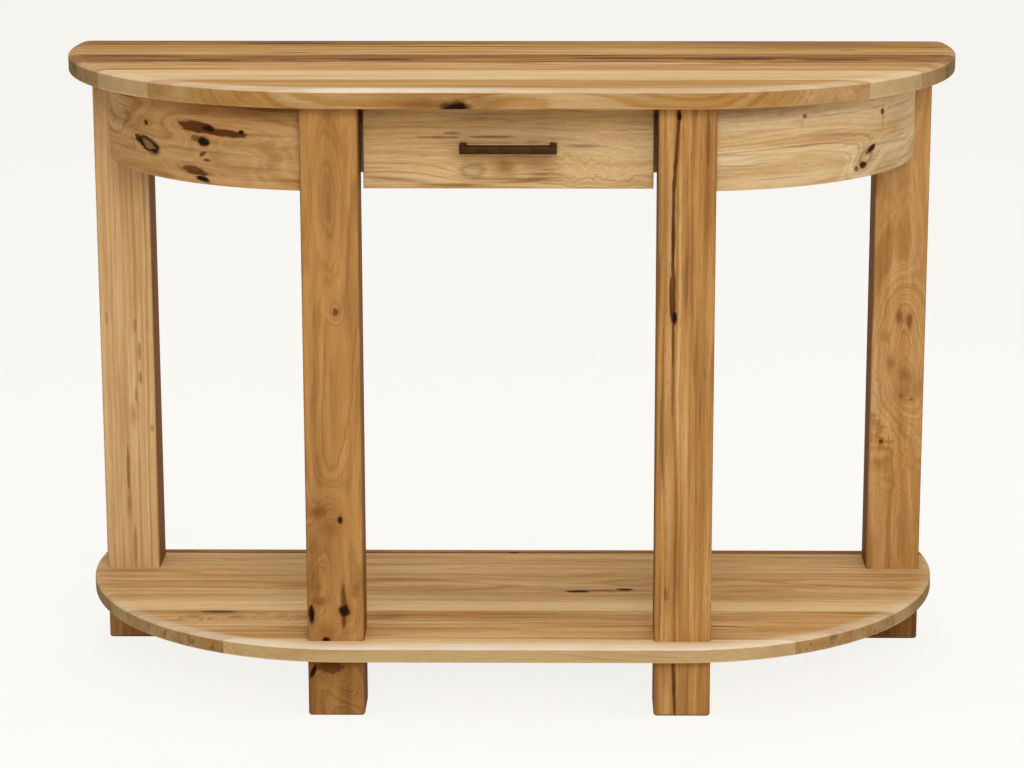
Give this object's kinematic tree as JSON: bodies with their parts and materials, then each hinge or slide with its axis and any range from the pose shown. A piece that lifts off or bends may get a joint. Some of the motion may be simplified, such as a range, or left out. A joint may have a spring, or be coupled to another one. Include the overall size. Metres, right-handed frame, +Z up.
{
  "type": "half oval console table",
  "caption": "Half oval oak console table with a straight back, a drawer under the top and a low shelf held between legs and feet.",
  "frame": {"origin": "middle of the bounding box on the floor plane, under the soles of the feet", "axes": "+X along the length to the right as seen from the front, +Y to the straight back edge (the drawer faces -Y), +Z up"},
  "size_m": [1.105, 0.405, 0.77],
  "materials": {
    "oak_top": "satin lacquered oak",
    "oak_shelf": "satin lacquered oak",
    "oak_legs": "satin lacquered oak",
    "oak_aprons": "satin lacquered oak",
    "oak_drawer_front": "satin lacquered oak",
    "pale_wood": "planed and waxed pale wood",
    "dowel_beech": "raw beech",
    "dark_bronze": "dark bronze lacquer, satin",
    "zinc_steel": "zinc plated"
  },
  "bodies": {
    "table": {"top": "oak_top", "shelf": "oak_shelf", "front_left_leg": "oak_legs", "front_right_leg": "oak_legs", "back_left_leg": "oak_legs", "back_right_leg": "oak_legs", "front_left_foot": "oak_legs", "front_right_foot": "oak_legs", "back_left_foot": "oak_legs", "back_right_foot": "oak_legs", "left_apron": "oak_aprons", "right_apron": "oak_aprons", "back_rail": "oak_aprons", "left_runner": "pale_wood", "right_runner": "pale_wood", "left_kicker": "pale_wood", "right_kicker": "pale_wood", "drawer_stops": "pale_wood", "leg_dowels": "dowel_beech", "leg_top_dowels": "dowel_beech", "apron_dowels": "dowel_beech", "rail_dowels": "dowel_beech", "runner_dowels": "dowel_beech", "leg_studs": "zinc_steel", "kicker_screws": "zinc_steel", "top_brackets": "zinc_steel", "bracket_screws": "zinc_steel"},
    "drawer": {"drawer_front": "oak_drawer_front", "drawer_left_side": "pale_wood", "drawer_right_side": "pale_wood", "drawer_back": "pale_wood", "drawer_bottom": "pale_wood", "drawer_handle": "dark_bronze", "handle_screws": "zinc_steel", "bottom_screws": "zinc_steel"}
  },
  "joints": [
    {"name": "drawer_slide", "type": "slide", "parent": "table", "child": "drawer", "axis": [0, -1, 0], "range_m": [0, 0.22]}
  ]
}
